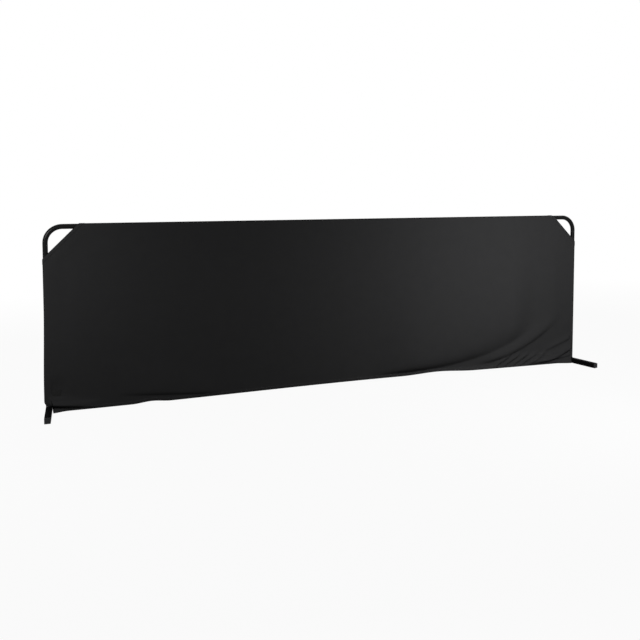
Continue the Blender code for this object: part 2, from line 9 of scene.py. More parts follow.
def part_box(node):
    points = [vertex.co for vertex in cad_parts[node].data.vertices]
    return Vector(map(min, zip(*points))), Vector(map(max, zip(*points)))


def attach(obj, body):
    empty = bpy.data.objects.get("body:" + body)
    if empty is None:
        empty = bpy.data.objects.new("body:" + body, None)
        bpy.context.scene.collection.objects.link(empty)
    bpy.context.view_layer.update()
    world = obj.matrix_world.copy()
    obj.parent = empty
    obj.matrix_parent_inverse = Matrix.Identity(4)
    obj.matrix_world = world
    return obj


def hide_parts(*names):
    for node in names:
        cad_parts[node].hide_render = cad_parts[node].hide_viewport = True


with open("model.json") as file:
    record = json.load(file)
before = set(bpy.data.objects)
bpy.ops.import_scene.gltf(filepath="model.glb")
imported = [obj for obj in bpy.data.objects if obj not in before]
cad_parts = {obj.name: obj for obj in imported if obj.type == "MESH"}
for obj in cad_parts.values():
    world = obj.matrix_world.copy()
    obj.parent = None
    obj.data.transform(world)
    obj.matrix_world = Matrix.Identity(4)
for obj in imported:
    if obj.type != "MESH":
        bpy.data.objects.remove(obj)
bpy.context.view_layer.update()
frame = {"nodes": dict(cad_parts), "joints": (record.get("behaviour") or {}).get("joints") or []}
print("frame loaded:", len(frame["nodes"]), "nodes")

sides = {"left": -1, "right": 1}
weld = 0.00003  # vertices closer than this are one
solidGap = 0.0003  # what touching solids keep between them
clothGap = 0.00065  # from a tube to the inside of the cloth round it
overrun = 0.002  # how far a cutter reaches past what it cuts
softEdge = 0.0003  # usual width of a softened edge
roundSteps = 40  # flats round a turned piece or a hole
sharpDegrees = 35  # edges steeper than this are shaded sharp
cornerDegrees = 60  # edges steeper than this are softened


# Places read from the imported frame
def middleOf(node):
    low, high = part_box(node)
    return (low + high) / 2


def sizeOf(node):
    low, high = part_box(node)
    return high - low


uprightX = {side: middleOf(side + "_upright_tube").x for side in sides}
centreX = sum(uprightX.values()) / 2
halfSpan = (uprightX["right"] - uprightX["left"]) / 2
tubeRadius = sizeOf("left_upright_tube").x / 2
railZ = middleOf("left_rail_tube").z
wrapRadius = tubeRadius + clothGap
wrapArc = wrapRadius * pi / 2


# Small helpers for shapes
shift = Matrix.Translation


def smooth(value):
    value = min(max(value, 0), 1)
    return value * value * (3 - 2 * value)


def bump(value):
    return 1 - smooth(abs(value))


def bell(value):
    return exp(-value * value)


def spread(low, high, count):
    return [low + (high - low) * step / count for step in range(count + 1)]


def ofKind(items, kind):
    return [item for item in items if isinstance(item, kind)]


def moveBy(bm, matrix):
    bmesh.ops.transform(bm, matrix=matrix, verts=bm.verts)


def extrudeBy(bm, faces, step):
    # pulls the faces out by one step and drops the ones left inside
    grown = bmesh.ops.extrude_face_region(bm, geom=faces)["geom"]
    bmesh.ops.translate(bm, vec=step, verts=ofKind(grown, bmesh.types.BMVert))
    inner = [face for face in faces if any(len(edge.link_faces) > 2 for edge in face.edges)]
    bmesh.ops.delete(bm, geom=inner, context="FACES")
    return ofKind(grown, bmesh.types.BMFace)


def pushRing(faces, push):
    # moves the corners of the faces away from their middle
    ring = {vert for face in faces for vert in face.verts}
    middle = sum((vert.co for vert in ring), Vector()) / len(ring)
    for vert in ring:
        vert.co += (vert.co - middle).normalized() * push


def roundEdges(bm, edges, width, segments):
    bmesh.ops.bevel(bm, geom=edges, offset=width, segments=segments, profile=0.5, affect="EDGES",
                    clamp_overlap=True, material=-1)


def soften(bm, width=softEdge, segments=2):
    # rounds every edge where two faces meet steeply
    edges = [edge for edge in bm.edges if edge.calc_face_angle(0) > radians(cornerDegrees)]
    roundEdges(bm, edges, width, segments)


def turnProfile(profile, x):
    # spins a closed loop of (radius, height) points about the upright line at x
    bm = bmesh.new()
    points = [bm.verts.new((x + radius, 0, height)) for radius, height in profile]
    for first, second in zip(points, points[1:] + points[:1]):
        bm.edges.new((first, second))
    bmesh.ops.spin(bm, geom=bm.edges[:], cent=(x, 0, 0), axis=(0, 0, 1), angle=tau,
                   steps=roundSteps, use_merge=True)
    bmesh.ops.remove_doubles(bm, verts=bm.verts, dist=weld)
    bmesh.ops.dissolve_degenerate(bm, dist=weld, edges=bm.edges)
    loose = [edge for edge in bm.edges if edge.is_wire]
    bmesh.ops.delete(bm, geom=loose, context="EDGES")
    return bm


def meshFrom(bm, name):
    mesh = bpy.data.meshes.new(name)
    bm.to_mesh(mesh)
    bm.free()
    return mesh


def addShape(bm, other):
    mesh = meshFrom(other, "added")
    bm.from_mesh(mesh)
    bpy.data.meshes.remove(mesh)


def linked(name, data):
    made = bpy.data.objects.new(name, data)
    bpy.context.scene.collection.objects.link(made)
    return made


def markSharp(mesh):
    mesh.set_sharp_from_angle(angle=radians(sharpDegrees))


def addPiece(name, bm, finish, nodes=(), body="frame", outward=True):
    if outward:
        bmesh.ops.recalc_face_normals(bm, faces=bm.faces)
    mesh = meshFrom(bm, name)
    mesh.shade_smooth()
    markSharp(mesh)
    material, slot = finishes[finish]
    mesh.materials.append(material)
    piece = linked(name, mesh)
    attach(piece, body)
    if nodes:
        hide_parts(*nodes)
    return piece


def barCutter(radius, low, high, x, corners=roundSteps):
    # an upright bar at x that is to be cut out of a piece
    bm = bmesh.new()
    bmesh.ops.create_cone(bm, cap_ends=True, segments=corners, radius1=radius, radius2=radius,
                          depth=high - low, matrix=shift((x, 0, (low + high) / 2)))
    return linked("cutter", meshFrom(bm, "cutter"))


def cutOut(piece, *cutters):
    # takes the cutters' shapes away from the piece for good
    for cutter in cutters:
        boolean = piece.modifiers.new("cut", "BOOLEAN")
        boolean.operation = "DIFFERENCE"
        boolean.object = cutter
    shaped = piece.evaluated_get(bpy.context.evaluated_depsgraph_get())
    mesh = bpy.data.meshes.new_from_object(shaped)
    markSharp(mesh)
    piece.modifiers.clear()
    piece.data = mesh
    for cutter in cutters:
        bpy.data.objects.remove(cutter)


# Shader maths: a wrapped socket adds its nodes as it is used in sums
class Wire:
    def __init__(self, tree, socket=None):
        self.tree = tree
        self.socket = socket

    def node(self, kind, sockets=None, output=0, **settings):
        made = self.tree.nodes.new("ShaderNode" + kind)
        for name, value in settings.items():
            setattr(made, name, value)
        for key, value in (sockets or {}).items():
            if isinstance(value, Wire):
                self.tree.links.new(value.socket, made.inputs[key])
            else:
                made.inputs[key].default_value = value
        return Wire(self.tree, made.outputs[output] if made.outputs else None)

    def maths(self, operation, first, second=0.0):
        return self.node("Math", {0: first, 1: second}, operation=operation)

    def __add__(self, other):
        return self.maths("ADD", self, other)

    def __sub__(self, other):
        return self.maths("SUBTRACT", self, other)

    def __rsub__(self, other):
        return self.maths("SUBTRACT", other, self)

    def __mul__(self, other):
        return self.maths("MULTIPLY", self, other)


def emptyNodes(owner):
    # clears the node tree of a material or a world
    owner.use_nodes = True
    owner.node_tree.nodes.clear()
    return Wire(owner.node_tree)


def mixed(wire, factor, first, second):
    colours = {0: factor, 6: (*first, 1), 7: (*second, 1)}
    return wire.node("Mix", colours, output=2, data_type="RGBA")


def lighter(colour, times):
    return tuple(shade * times for shade in colour)


def surface(wire, look, colour, roughness, height):
    # the Principled shader, with its uniform values on its own sockets
    bumped = wire.node("Bump", {"Height": height, "Distance": look["relief"]})
    sockets = {"Base Color": colour, "Roughness": roughness, "Normal": bumped,
               "Specular IOR Level": look["specular"], **look.get("more", {})}
    shader = wire.node("BsdfPrincipled", sockets)
    wire.node("OutputMaterial", {"Surface": shader})


def cloudy(wire, place, scale, detail=2.0, roughness=0.55, stretch=None):
    if stretch:
        place = wire.node("Mapping", {"Vector": place, "Scale": stretch})
    sockets = {"Vector": place, "Scale": scale, "Detail": detail, "Roughness": roughness}
    return wire.node("TexNoise", sockets)


def ramped(wire, value, band):
    # zero below the band and one above it
    return wire.node("MapRange", {"Value": value, "From Min": band[0], "From Max": band[1]})


def patches(wire, place, band, **cloud):
    return ramped(wire, cloudy(wire, place, **cloud), band)


def objectPlace(wire):
    return wire.node("TexCoord", output="Object")


def flatPlace(wire):
    # the place on the flat cloth, whose UV map is in metres, and its two parts
    place = wire.node("UVMap", uv_map="flat")
    return place, *(wire.node("SeparateXYZ", {0: place}, output=axis) for axis in (0, 1))


def ridges(wire, value, pitch):
    return wire.maths("ABSOLUTE", wire.maths("SINE", value * (pi / pitch)))


coverCloth = {
    "colour": (0.0205, 0.0205, 0.021), "fadedColour": (0.022, 0.022, 0.0225), "fadeBand": (0.32, 0.68),
    "threadPitch": 0.00055, "relief": 0.00007, "roughness": 0.7, "gapRoughness": 0.1, "fadeShine": 0.05,
    "mottle": {"scale": 22.0, "detail": 3.0}, "mottleShare": 0.6,
    "streaks": {"scale": 900.0, "stretch": (1.0, 0.02, 1.0)}, "streakHeight": 0.5,
    "specular": 0.0,
}


def wovenCloth(wire, cloth):
    # plain weave with faint streaks along the threads
    place, along, down = flatPlace(wire)
    pitch = cloth["threadPitch"]
    warp, weft = ridges(wire, along, pitch), ridges(wire, down, pitch)
    over = wire.node("TexChecker", {"Vector": place, "Scale": 1 / pitch}, output=1)
    weave = over * warp + (1 - over) * weft
    streaks = cloudy(wire, place, **cloth["streaks"])
    mottle = cloudy(wire, place, **cloth["mottle"])
    worn = mottle * cloth["mottleShare"] + streaks * (1 - cloth["mottleShare"])
    fade = ramped(wire, worn, cloth["fadeBand"])
    colour = mixed(wire, fade, cloth["colour"], cloth["fadedColour"])
    roughness = (1 - weave) * cloth["gapRoughness"] + cloth["roughness"] - fade * cloth["fadeShine"]
    surface(wire, cloth, colour, roughness, weave + streaks * cloth["streakHeight"])


bindingTape = {
    "colour": (0.0105, 0.0105, 0.011), "rubTimes": 1.5, "rubs": {"scale": 60.0, "band": (0.45, 0.75)},
    "ribPitch": 0.0009, "crossPitch": 0.0018, "crossHeight": 0.3, "relief": 0.00012,
    "roughness": 0.7, "ribRoughness": 0.1, "specular": 0.12, "more": {"Sheen Weight": 0.02},
}


def wovenTape(wire, tape):
    # narrow tape, ribbed across its length
    place, along, down = flatPlace(wire)
    ribs = ridges(wire, along + down, tape["ribPitch"])
    cross = ridges(wire, along - down, tape["crossPitch"])
    rubs = patches(wire, place, **tape["rubs"])
    colour = mixed(wire, rubs, tape["colour"], lighter(tape["colour"], tape["rubTimes"]))
    roughness = ribs * tape["ribRoughness"] + tape["roughness"]
    surface(wire, tape, colour, roughness, ribs + cross * tape["crossHeight"])


sewingThread = {
    "colour": (0.02, 0.02, 0.021), "litTimes": 1.6, "twistPitch": 0.0006, "relief": 0.00005,
    "roughness": 0.5, "grainRoughness": 0.2, "specular": 0.25,
}


def twistedThread(wire, thread):
    grain = cloudy(wire, objectPlace(wire), 1 / thread["twistPitch"])
    colour = mixed(wire, grain, thread["colour"], lighter(thread["colour"], thread["litTimes"]))
    surface(wire, thread, colour, grain * thread["grainRoughness"] + thread["roughness"], grain)


powder = {
    "rubs": {"scale": 35.0, "detail": 4.0, "stretch": (1.0, 1.0, 3.0), "band": (0.6, 0.74)},
    "rubShare": 0.6, "rubShine": 0.08, "grainRoughness": 0.1,
}
framePaint = {
    **powder, "colour": (0.004, 0.004, 0.0042), "wornColour": (0.01, 0.01, 0.0103),
    "grainScale": 1400.0, "relief": 0.00004, "roughness": 0.19, "specular": 0.07,
}
footPaint = {
    **powder, "colour": (0.0013, 0.0013, 0.0014), "wornColour": (0.004, 0.004, 0.0042),
    "grainScale": 1100.0, "relief": 0.00007, "roughness": 0.5, "specular": 0.015,
}


def powderCoat(wire, paint):
    # orange-peel coat with faint rub marks
    place = objectPlace(wire)
    peel = cloudy(wire, place, paint["grainScale"])
    rubs = patches(wire, place, **paint["rubs"])
    colour = mixed(wire, rubs * paint["rubShare"], paint["colour"], paint["wornColour"])
    roughness = peel * paint["grainRoughness"] + paint["roughness"] - rubs * paint["rubShine"]
    surface(wire, paint, colour, roughness, peel)


moulding = {
    "scuffs": {"scale": 220.0, "detail": 5.0, "stretch": (4.0, 1.0, 0.4), "band": (0.62, 0.7)},
    "scuffShare": 0.7, "relief": 0.00003, "roughness": 0.5, "grainRoughness": 0.15, "specular": 0.1,
}
capPlastic = {**moulding, "colour": (0.017, 0.017, 0.018), "scuffColour": (0.032, 0.032, 0.033),
              "grainScale": 2600.0}
washerNylon = {**moulding, "colour": (0.05, 0.05, 0.05), "scuffColour": (0.08, 0.08, 0.08),
               "grainScale": 1800.0}


def mouldedPlastic(wire, plastic):
    # fine spark-eroded grain with a few pale scuffs
    place = objectPlace(wire)
    grain = cloudy(wire, place, plastic["grainScale"])
    scuffs = patches(wire, place, **plastic["scuffs"]) * plastic["scuffShare"]
    colour = mixed(wire, scuffs, plastic["colour"], plastic["scuffColour"])
    surface(wire, plastic, colour, grain * plastic["grainRoughness"] + plastic["roughness"], grain)


zincSteel = {
    "colour": (0.56, 0.56, 0.57), "dullColour": (0.4, 0.4, 0.41),
    "dull": {"scale": 160.0, "band": (0.4, 0.7)},
    "brushScale": 900.0, "relief": 0.00002, "roughness": 0.28, "dullRoughness": 0.2, "specular": 0.5,
    "more": {"Metallic": 1.0},
}


def zincPlate(wire, zinc):
    place = objectPlace(wire)
    spangle = cloudy(wire, place, zinc["brushScale"])
    dull = patches(wire, place, **zinc["dull"])
    colour = mixed(wire, dull, zinc["colour"], zinc["dullColour"])
    surface(wire, zinc, colour, dull * zinc["dullRoughness"] + zinc["roughness"], spangle)


hookTape = {
    "colour": (0.01, 0.01, 0.01), "tipTimes": 1.8, "hookPitch": 0.0012, "relief": 0.0004,
    "roughness": 0.92, "specular": 0.1,
}


def hookFabric(wire, tape):
    # a field of tiny hooks or loops
    tufts = wire.node("TexVoronoi", {"Vector": objectPlace(wire), "Scale": 1 / tape["hookPitch"]})
    colour = mixed(wire, tufts, lighter(tape["colour"], tape["tipTimes"]), tape["colour"])
    surface(wire, tape, colour, tape["roughness"], 1 - tufts)


looks = {  # the material's name, how it is made, from what, and the slot that it fills
    "cloth": ("woven_cloth", wovenCloth, coverCloth, "cover_cloth"),
    "tape": ("woven_tape", wovenTape, bindingTape, "binding_tape"),
    "thread": ("sewing_thread", twistedThread, sewingThread, "binding_tape"),
    "frame": ("satin_powder_coat", powderCoat, framePaint, "frame_paint"),
    "foot": ("matt_powder_coat", powderCoat, footPaint, "foot_paint"),
    "cap": ("moulded_cap", mouldedPlastic, capPlastic, "cap_plastic"),
    "nylon": ("moulded_nylon", mouldedPlastic, washerNylon, "washer_nylon"),
    "zinc": ("zinc_plate", zincPlate, zincSteel, "zinc_steel"),
    "hook": ("hook_and_loop", hookFabric, hookTape, "hook_tape"),
}
finishes = {}
for look, (name, makeNodes, values, slot) in looks.items():
    material = bpy.data.materials.new(name)
    makeNodes(emptyNodes(material), values)
    finishes[look] = material, slot
print("finishes made:", len(finishes))


# Tube frame
tubing = {"sides": 48, "bendSteps": 28, "bendRadius": 0.06, "wall": 0.0012, "neckLength": 0.035,
          "neckShoulder": 0.002}


def annulus(outer, wall):
    bm = bmesh.new()
    bmesh.ops.create_circle(bm, radius=outer, segments=tubing["sides"])
    bmesh.ops.create_circle(bm, radius=outer - wall, segments=tubing["sides"])
    bmesh.ops.bridge_loops(bm, edges=bm.edges)
    return bm


def straightTube(name, node, finish="frame", outer=tubeRadius, wall=tubing["wall"]):
    # lies along the rail where its box is long in x, and stands otherwise
    low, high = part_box(node)
    size = high - low
    lying = size.x > size.z
    bm = annulus(outer, wall)
    extrudeBy(bm, bm.faces[:], (0, 0, size.x if lying else size.z))
    soften(bm)
    if lying:
        moveBy(bm, shift((low.x, 0, railZ)) @ Matrix.Rotation(pi / 2, 4, "Y"))
    else:
        moveBy(bm, shift(((low.x + high.x) / 2, 0, low.z)))
    return addPiece(name, bm, finish, [node])


def cornerBend(side):
    # a quarter bend with short legs and a thinner neck at both ends
    sign = sides[side]
    node = side + "_corner_bend"
    low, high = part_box(node)
    reach = tubing["neckLength"] + tubing["neckShoulder"]
    bendX, bendZ = uprightX[side] - sign * tubing["bendRadius"], railZ - tubing["bendRadius"]
    bm = annulus(tubeRadius, tubing["wall"])
    moveBy(bm, shift((uprightX[side], 0, bendZ)))
    start = bm.faces[:]
    bent = bmesh.ops.spin(bm, geom=start, cent=(bendX, 0, bendZ), axis=(0, -sign, 0), angle=pi / 2,
                          steps=tubing["bendSteps"])
    end = ofKind(bent["geom_last"], bmesh.types.BMFace)
    legDown = bendZ - low.z - reach
    legIn = abs(bendX - (high.x if sign < 0 else low.x)) - reach
    for faces, step, leg in ((start, Vector((0, 0, -1)), legDown), (end, Vector((-sign, 0, 0)), legIn)):
        tip = extrudeBy(bm, faces, step * leg)
        shoulder = extrudeBy(bm, tip, step * tubing["neckShoulder"])
        pushRing(shoulder, -tubing["wall"] - solidGap)
        extrudeBy(bm, shoulder, step * tubing["neckLength"])
    addPiece(side + "_bend", bm, "frame", [node])


rails = {}
for side in sides:
    straightTube(side + "_upright", side + "_upright_tube")
    rails[side] = straightTube(side + "_rail", side + "_rail_tube")
    cornerBend(side)
print("tube frame done")


# Fasteners, all of them on the upright lines or under the rail
spigotWall = 0.0015
screw = {"shank": 0.004, "plain": 0.0, "head": 0.0078, "crown": 0.004836, "rim": 0.0004, "edge": 0.0,
         "domeSteps": 5, "lead": 0.0003, "threadPitch": 0.0007, "threadDepth": 0.00035,
         "socket": 0.0025, "socketDepth": 0.0014}
bolt = {"shank": 0.008, "plain": 0.004, "head": 0.014, "crown": 0.009, "rim": 0.0016, "edge": 0.0003,
        "domeSteps": 6, "lead": 0.0, "threadPitch": 0.00125, "threadDepth": 0.0006,
        "socket": 0.005, "socketDepth": 0.0026}
crestShares = (0.45, 0.55)  # of a thread's pitch
tipTimes = 1.5  # the shank's tip is thinner by this many thread depths
bush = {"chamfer": 0.0004, "grips": 6, "gripDepth": 0.0004, "slopeShare": 0.3, "grooveShare": 0.1,
        "lead": 0.0006}
spring = {"lift": 0.00012, "slitDegrees": 12, "edge": 0.00015}
washerEdge = 0.00025
boreRadius = bolt["shank"] / 2 + solidGap


def threadPoints(low, high, shape):
    # saw-tooth outline up a threaded shank
    radius, depth, pitch = shape["shank"] / 2, shape["threadDepth"], shape["threadPitch"]
    turns = int((high - low) / pitch)
    points = []
    for turn in range(turns):
        base = low + turn * pitch
        points.append((radius - depth, base))
        points += [(radius, base + pitch * share) for share in crestShares]
    return points + [(radius - depth, low + turns * pitch), (radius - depth * tipTimes, high)]


def headedBolt(name, node, shape, x, seat):
    # a button head that looks down, with a hexagon socket, and a threaded shank
    low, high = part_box(node)
    head, crown, shank, edge = shape["head"] / 2, shape["crown"] / 2, shape["shank"] / 2, shape["edge"]
    headTop = seat - solidGap
    rimZ, shankTop = headTop - shape["rim"], headTop + shape["plain"]
    dome = [(crown + (head - crown) * sin(angle), rimZ - (rimZ - low.z) * cos(angle))
            for angle in spread(0, pi / 2, shape["domeSteps"])]
    profile = [(0, low.z)] + dome + [(head, headTop - edge), (head - edge, headTop)]
    profile += [(shank, headTop), (shank, shankTop)]
    profile += threadPoints(shankTop + shape["lead"], high.z - shape["lead"], shape) + [(0, high.z)]
    piece = addPiece(name, turnProfile(profile, x), "zinc", [node])
    socket = shape["socket"] / 2 / cos(pi / 6)
    cutOut(piece, barCutter(socket, low.z - overrun, low.z + shape["socketDepth"], x, 6))


def flange(low, high, lower, upper):
    # outline of a disc as wide as the tube, chamfered below and above, from its bore outwards
    return [(boreRadius, low), (tubeRadius - lower, low), (tubeRadius, low + lower),
            (tubeRadius, high - upper), (tubeRadius - upper, high)]


def uprightPlug(side):
    # flanged bush: the flange carries the tube, the body has shallow grip rings
    node = side + "_upright_plug"
    low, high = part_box(node)
    body = tubeRadius - tubing["wall"] - solidGap
    groove = body - bush["gripDepth"]
    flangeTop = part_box(side + "_upright_tube")[0].z - solidGap
    profile = flange(low.z, flangeTop, bush["chamfer"], softEdge) + [(body, flangeTop)]
    pitch = (high.z - flangeTop) / (bush["grips"] + 1)
    slope, flat = pitch * bush["slopeShare"], pitch * bush["grooveShare"]
    for grip in range(1, bush["grips"] + 1):
        base = flangeTop + grip * pitch
        profile += [(body, base - slope), (groove, base - flat), (groove, base + flat),
                    (body, base + slope)]
    profile += [(body - bush["lead"], high.z), (boreRadius, high.z)]
    addPiece(side + "_plug", turnProfile(profile, uprightX[side]), "zinc", [node])


def springWasher(side):
    # split ring whose two ends part a little in height
    node = side + "_spring_washer"
    low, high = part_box(node)
    outer = sizeOf(node).y / 2
    lift = spring["lift"]
    corners = [(boreRadius, low.z), (outer, low.z), (outer, high.z - lift), (boreRadius, high.z - lift)]
    bm = bmesh.new()
    x = uprightX[side]
    face = bm.faces.new([bm.verts.new((x + radius, 0, height)) for radius, height in corners])
    bmesh.ops.spin(bm, geom=[face], cent=(x, 0, 0), axis=(0, 0, 1), steps=roundSteps,
                   angle=radians(360 - spring["slitDegrees"]), dvec=(0, 0, lift / roundSteps))
    soften(bm, spring["edge"], 1)
    addPiece(side + "_spring_ring", bm, "zinc", [node])


def swivelWasher(side):
    node = side + "_swivel_washer"
    low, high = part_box(node)
    profile = flange(low.z, high.z, washerEdge, washerEdge) + [(boreRadius, high.z)]
    addPiece(side + "_washer", turnProfile(profile, uprightX[side]), "nylon", [node])


def railSpigot(screwX):
    # the tube inside both rail halves, drilled from below together with them
    low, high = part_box("rail_spigot")
    spigot = straightTube("spigot", "rail_spigot", "zinc", (high.z - low.z) / 2, spigotWall)
    hole = screw["shank"] / 2 + solidGap
    cutOut(spigot, *(barCutter(hole, low.z - overrun, railZ, x) for x in screwX.values()))
    for side, rail in rails.items():
        cutOut(rail, barCutter(hole, railZ - tubeRadius - overrun, railZ, screwX[side]))


screwX = {side: middleOf(side + "_rail_screw").x for side in sides}
railSpigot(screwX)
for side in sides:
    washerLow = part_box(side + "_spring_washer")[0].z
    headedBolt(side + "_screw", side + "_rail_screw", screw, screwX[side], railZ - tubeRadius)
    headedBolt(side + "_bolt", side + "_pivot_bolt", bolt, uprightX[side], washerLow)
    uprightPlug(side)
    springWasher(side)
    swivelWasher(side)
print("fasteners done")


# Bar feet
foot = {"wall": 0.0015, "corner": 0.002, "cornerSteps": 5, "boltHole": 0.009, "accessHole": 0.016,
        "capFlange": 0.003, "capEdge": 0.0011, "capEdgeSteps": 4, "plugLength": 0.014, "plugEdge": 0.0008,
        "fins": 3, "finHeight": 0.0004, "finWidth": 0.0012}


def squareLoop(width):
    bm = bmesh.new()
    bmesh.ops.create_circle(bm, cap_ends=True, radius=width / sqrt(2), segments=4,
                            matrix=Matrix.Rotation(pi / 4, 4, "Z"))
    bmesh.ops.bevel(bm, geom=bm.verts[:], offset=foot["corner"], segments=foot["cornerSteps"],
                    profile=0.5, affect="VERTICES", material=-1)
    moveBy(bm, Matrix.Rotation(pi / 2, 4, "X"))
    return bm


def footBar(side, place, barLength, barSide):
    # square tube with a hole for the bolt on top and a wider one below
    bm = squareLoop(barSide)
    addShape(bm, squareLoop(barSide - 2 * foot["wall"]))
    bmesh.ops.delete(bm, geom=bm.faces[:], context="FACES_ONLY")
    bmesh.ops.bridge_loops(bm, edges=bm.edges)
    extrudeBy(bm, bm.faces[:], (0, barLength, 0))
    soften(bm)
    moveBy(bm, place @ shift((0, -barLength / 2, barSide / 2)))
    bar = addPiece(side + "_bar", bm, "foot", [side + "_foot_bar"], side + "_foot")
    upper = barCutter(foot["boltHole"] / 2, barSide / 2, barSide + overrun, uprightX[side])
    lower = barCutter(foot["accessHole"] / 2, -overrun, barSide / 2, uprightX[side])
    cutOut(bar, upper, lower)


def footCap(side, end, place, barLength, barSide):
    # a domed flange over the bar's end, and a plug with grip fins inside it
    bm = squareLoop(barSide)
    plug = extrudeBy(bm, bm.faces[:], (0, foot["capFlange"], 0))
    edges = [edge for edge in bm.edges if all(abs(vert.co.y) < weld for vert in edge.verts)]
    roundEdges(bm, edges, foot["capEdge"], foot["capEdgeSteps"])
    bmesh.ops.inset_region(bm, faces=plug, thickness=foot["wall"] + solidGap, use_even_offset=True)
    run = foot["plugLength"] / (foot["fins"] + 1)
    for _ in range(foot["fins"]):
        plug = extrudeBy(bm, plug, (0, run - foot["finWidth"], 0))
        for push in (-foot["finHeight"], foot["finHeight"]):
            plug = extrudeBy(bm, plug, (0, foot["finWidth"] / 2, 0))
            pushRing(plug, push)
    plug = extrudeBy(bm, plug, (0, run - foot["plugEdge"], 0))
    tip = extrudeBy(bm, plug, (0, foot["plugEdge"], 0))
    pushRing(tip, -foot["plugEdge"])
    reach = barLength / 2 + solidGap + foot["capFlange"]
    moveBy(bm, shift((0, -reach, barSide / 2)))
    if end == "rear":
        moveBy(bm, Matrix.Rotation(pi, 4, "Z"))
    moveBy(bm, place)
    addPiece(side + "_cap_" + end, bm, "cap", [side + "_foot_" + end + "_cap"], side + "_foot")


for side in sides:
    # in line with the barrier at both limits, so square to it halfway between them
    joint = next(joint for joint in frame["joints"] if joint["child"] == side + "_foot")
    turn = -radians(sum(joint["range_deg"]) / 2)
    _, depth, barSide = sizeOf(side + "_foot_bar")
    barLength = (depth - barSide * sin(abs(turn))) / cos(turn)
    place = shift((uprightX[side], 0, 0)) @ Matrix.Rotation(turn, 4, "Z")
    footBar(side, place, barLength, barSide)
    for end in ("front", "rear"):
        footCap(side, end, place, barLength, barSide)
print("feet done")


# Cover: two sheets of cloth, front and back, that meet over the rail and outside the uprights
cover = {
    "thickness": 0.0006,
    "cut": 0.132,  # the corners are cut off this far from the barrier's ends
    "notchHeight": 0.025,  # lower edge over a foot
    "hemWidth": 0.014,
    "hemStep": 0.0005,
    "hemFade": 0.002,
    "flatZone": 0.045,  # the cloth lies flat from the upright this far inboard
    "freeRun": 0.07,
    "billow": 0.004,
    "foldRun": 0.014,  # beside an upright the folds die out over this run
    "inwardRoom": 0.005,  # how far it may lie behind the tubes' front
    "inwardRun": 0.008,
    "inwardDrop": 0.03,
}
cutX = halfSpan + tubeRadius - cover["cut"]  # where a cut meets the rail's top
# how far inboard of an upright the lower edge comes down beside the foot
notch = {"front": {"left": 0.0125, "right": 0.0075}, "back": {"left": 0.018, "right": 0.018}}
# room for a turning foot: how far out the lower edge stays, and from where to where
footRoom = {"depth": 0.0125, "inboard": 0.21, "run": 0.05, "height": 0.042, "fade": 0.016}
hem = {  # the front's lower edge, as seen on the plane of the frame's front
    "floor": 0.0012,
    # height, place and reach of each rise over the floor
    "rises": ((0.01, 0.12, 1.16), (0.0075, 0.45, 0.18), (0.006, -0.785, 0.075)),
    "viewSlope": 0.295,  # what stands further out hangs lower in the view
    "viewRounds": 3,
}


# Folds, in metres from the barrier's middle and over the floor. Above the line from start to end the
# cloth stands out by drop over a run of reach, and comes back over a run of fall. Power bends the line,
# edge softens its foot, and over the shares in ends the fold dies out
def fold(start, end, reach, reachEnd=None, power=1.0, ends=(0.3, 0.3), **shape):
    reaches = (reach, reachEnd or reach)
    return {"start": start, "end": end, "reaches": reaches, "power": power, "ends": ends, **shape}


frontFolds = {
    "draw": fold((0.1, 0.026), (0.95, 0.191), power=3.2, drop=0.03, reach=0.005, reachEnd=0.046,
                 fall=0.34, edge=0.0024, ends=(0.3, 0.16)),
    "second": fold((0.62, 0.031), (1.1, 0.227), power=2.05, drop=0.021, reach=0.01,
                   reachEnd=0.024, fall=0.045, edge=0.0018),
    "pullTop": fold((0.98, 0.06), (1.15, 0.116), power=1.2, drop=0.008, reach=0.007,
                    fall=0.02, edge=0.0016, ends=(0.4, 0.1)),
    "pullHigh": fold((0.9, 0.01), (1.157, 0.068), power=2.3, drop=0.0185, reach=0.006,
                     fall=0.026, edge=0.0012, ends=(0.3, 0.04)),
    "pullLow": fold((0.96, 0.014), (1.157, 0.037), power=1.4, drop=0.01, reach=0.005,
                    fall=0.016, edge=0.001, ends=(0.3, 0.04)),
    "leftTuck": fold((-0.93, 0.042), (-0.48, 0.01), drop=0.008, reach=0.008, reachEnd=0.005,
                     fall=0.1, edge=0.0012),
    "leftCrest": fold((-1.172, 0.0262), (-0.95, -0.001), power=1.1, drop=0.017, reach=0.004,
                      fall=0.024, edge=0.001, ends=(0.0, 0.7)),
    "leftSeam": fold((-1.165, 0.048), (-1.06, 0.042), drop=0.0028, reach=0.002, fall=0.007,
                     edge=0.0008, ends=(0.0, 0.6)),
    "leftCornerPull": fold((-1.15, 0.52), (-0.99, 0.686), drop=0.004, reach=0.01, fall=0.03,
                           edge=0.003, ends=(0.2, 0.2)),
    "rightCornerPull": fold((0.99, 0.686), (1.15, 0.52), drop=0.003, reach=0.01, fall=0.03,
                            edge=0.003, ends=(0.2, 0.2)),
}
backFolds = {
    "draw": fold((-0.95, 0.17), (-0.28, 0.02), power=0.6, drop=0.015, reach=0.022, fall=0.3, edge=0.0028),
    "second": fold((-1.08, 0.2), (-0.7, 0.02), power=0.8, drop=0.008, reach=0.012, fall=0.045, edge=0.002),
    "pullLeft": fold((-1.157, 0.066), (-0.94, 0.008), power=0.8, drop=0.0065, reach=0.004,
                     fall=0.03, edge=0.0014, ends=(0.04, 0.3)),
    "pullRight": fold((0.95, 0.01), (1.157, 0.062), power=1.4, drop=0.0065, reach=0.004,
                      fall=0.03, edge=0.0014, ends=(0.3, 0.04)),
    "drag": fold((0.1, 0.008), (0.8, 0.07), power=1.7, drop=0.008, reach=0.012, fall=0.1, edge=0.002),
}
